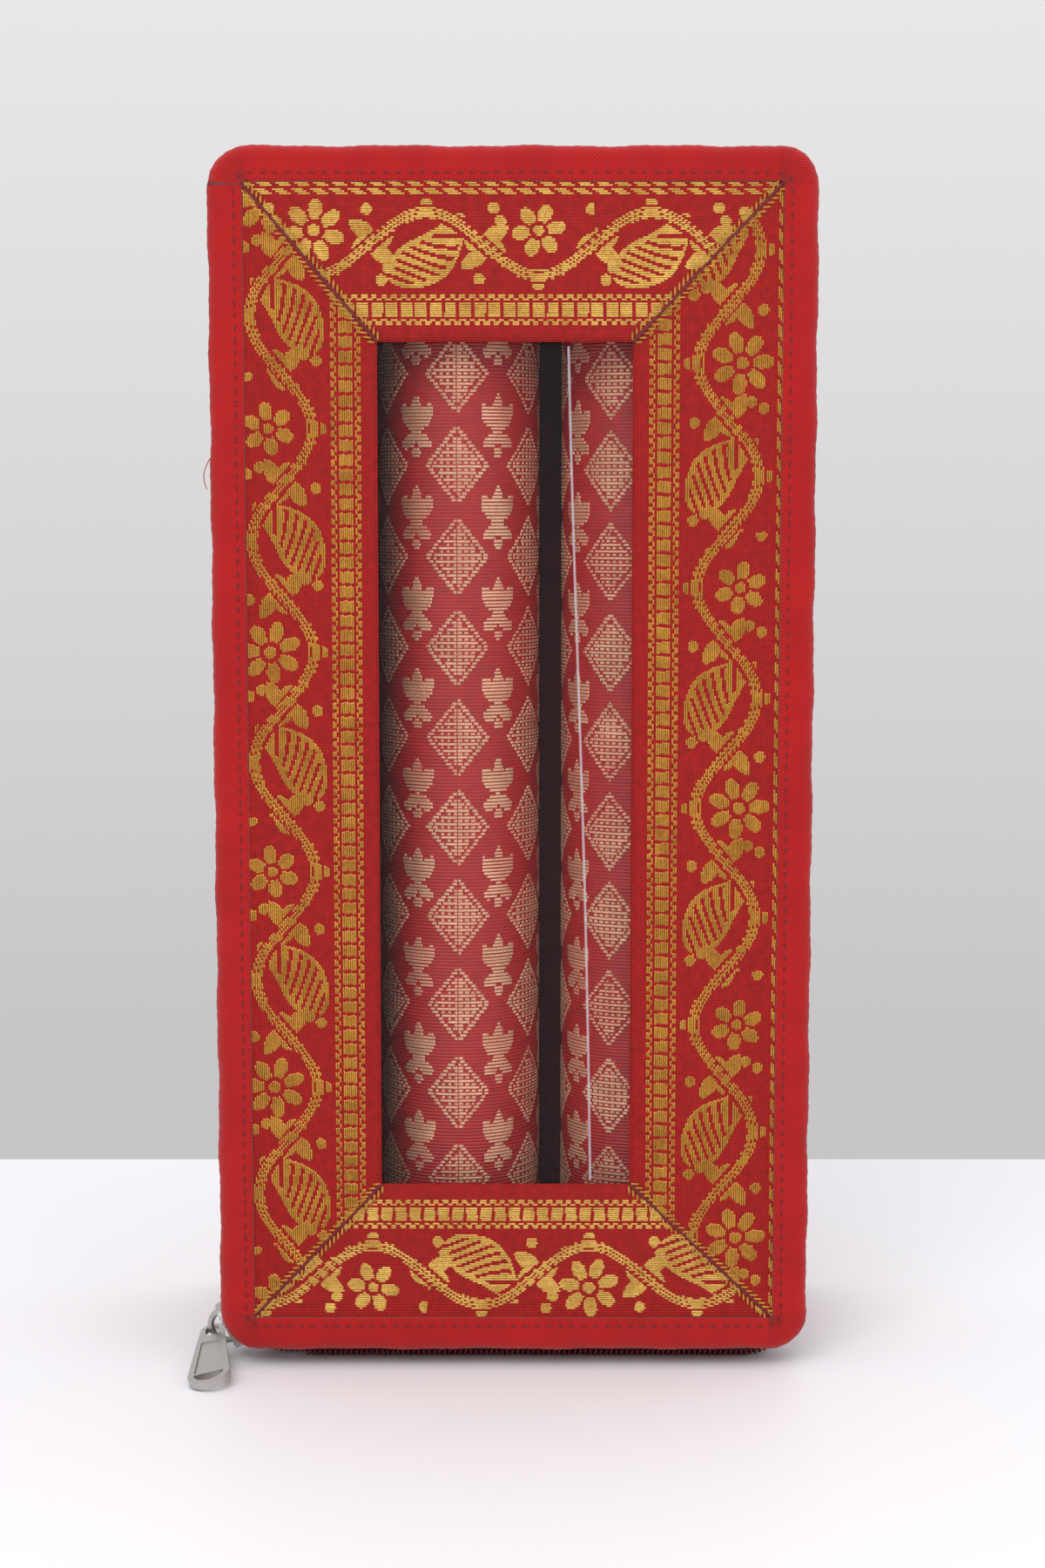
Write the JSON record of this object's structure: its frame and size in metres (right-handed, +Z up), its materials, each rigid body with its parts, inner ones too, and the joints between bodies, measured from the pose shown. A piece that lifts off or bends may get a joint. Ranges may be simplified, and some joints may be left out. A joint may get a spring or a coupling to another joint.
{
  "type": "zipped bangle box",
  "caption": "Red and gold brocade zip-round box with a clear window lid, bound edges, a metal zip pull and padded rolls inside, standing on its short end.",
  "frame": {"origin": "centre of the underside of the bounding box of the whole object, pull tab included, on the surface it stands on", "axes": "+Z up along the box's long side as it stands on its short end, -Y out of the lid with its window, +X to the right seen from the lid's side"},
  "size_m": [0.1569, 0.0936, 0.307],
  "materials": {
    "card": "plain grey-brown card",
    "binding_twill": "red twill bias binding, stitched",
    "gold_ribbon": "gold metallic floats woven on red ribbed ground",
    "lining_cloth": "plain dark red lining",
    "zip_tape": "dark red woven tape",
    "zip_coil": "dark red coil",
    "nickel": "nickel plate, slightly worn",
    "clear_sheet": "clear flexible sheet",
    "padding": "white wadding",
    "cover_brocade": "red brocade with gold buds",
    "roll_brocade": "red ground with pale gold floats"
  },
  "bodies": {
    "box": {"back_board": "card", "left_wall_board": "card", "right_wall_board": "card", "top_wall_board": "card", "bottom_wall_board": "card", "outer_cover": "cover_brocade", "wall_lining": "lining_cloth", "back_cover": "cover_brocade", "back_lining": "lining_cloth", "back_binding": "binding_twill", "hinge_cloth": "zip_tape", "zip_tape_body": "zip_tape", "zip_coil_body": "zip_coil"},
    "lid": {"lid_board": "card", "lid_lining": "lining_cloth", "window_sheet": "clear_sheet", "border_top_ribbon": "gold_ribbon", "border_bottom_ribbon": "gold_ribbon", "border_left_ribbon": "gold_ribbon", "border_right_ribbon": "gold_ribbon", "lid_binding": "binding_twill", "lid_hinge_cloth": "zip_tape", "zip_tape_lid": "zip_tape", "zip_coil_lid": "zip_coil"},
    "slider": {"slider_body": "nickel", "slider_arch": "nickel"},
    "pull": {"pull_tab": "nickel"},
    "roll_1": {"roll_1_tube": "card", "roll_1_padding": "padding", "roll_1_sleeve": "roll_brocade", "roll_1_top_cap": "roll_brocade", "roll_1_bottom_cap": "roll_brocade"},
    "roll_2": {"roll_2_tube": "card", "roll_2_padding": "padding", "roll_2_sleeve": "roll_brocade", "roll_2_top_cap": "roll_brocade", "roll_2_bottom_cap": "roll_brocade"}
  },
  "joints": [
    {"name": "lid_hinge", "type": "hinge", "parent": "box", "child": "lid", "pos_m": [-0.07211, -0.01614, 0.153], "axis": [0, 0, -1], "range_deg": [0, 170]},
    {"name": "slider_travel", "type": "hinge", "parent": "box", "child": "slider", "pos_m": [-0.05597, -0.01614, 0.016], "axis": [0, -1, 0], "range_deg": [0, 42]},
    {"name": "tab_swing", "type": "hinge", "parent": "slider", "child": "pull", "pos_m": [-0.07504, -0.01614, 0.00586], "axis": [0, 0, -1], "range_deg": [0, 130]},
    {"name": "roll_1_lift", "type": "slide", "parent": "box", "child": "roll_1", "axis": [0, -1, 0], "range_m": [0, 0.08]},
    {"name": "roll_2_lift", "type": "slide", "parent": "box", "child": "roll_2", "axis": [0, -1, 0], "range_m": [0, 0.08]}
  ],
  "couplings": [
    {"joint": "slider_travel", "follows": "lid_hinge", "ratio": 0.24706},
    {"joint": "roll_1_lift", "follows": "lid_hinge", "m_per_rad": 0.026962},
    {"joint": "roll_2_lift", "follows": "lid_hinge", "m_per_rad": 0.026962}
  ]
}
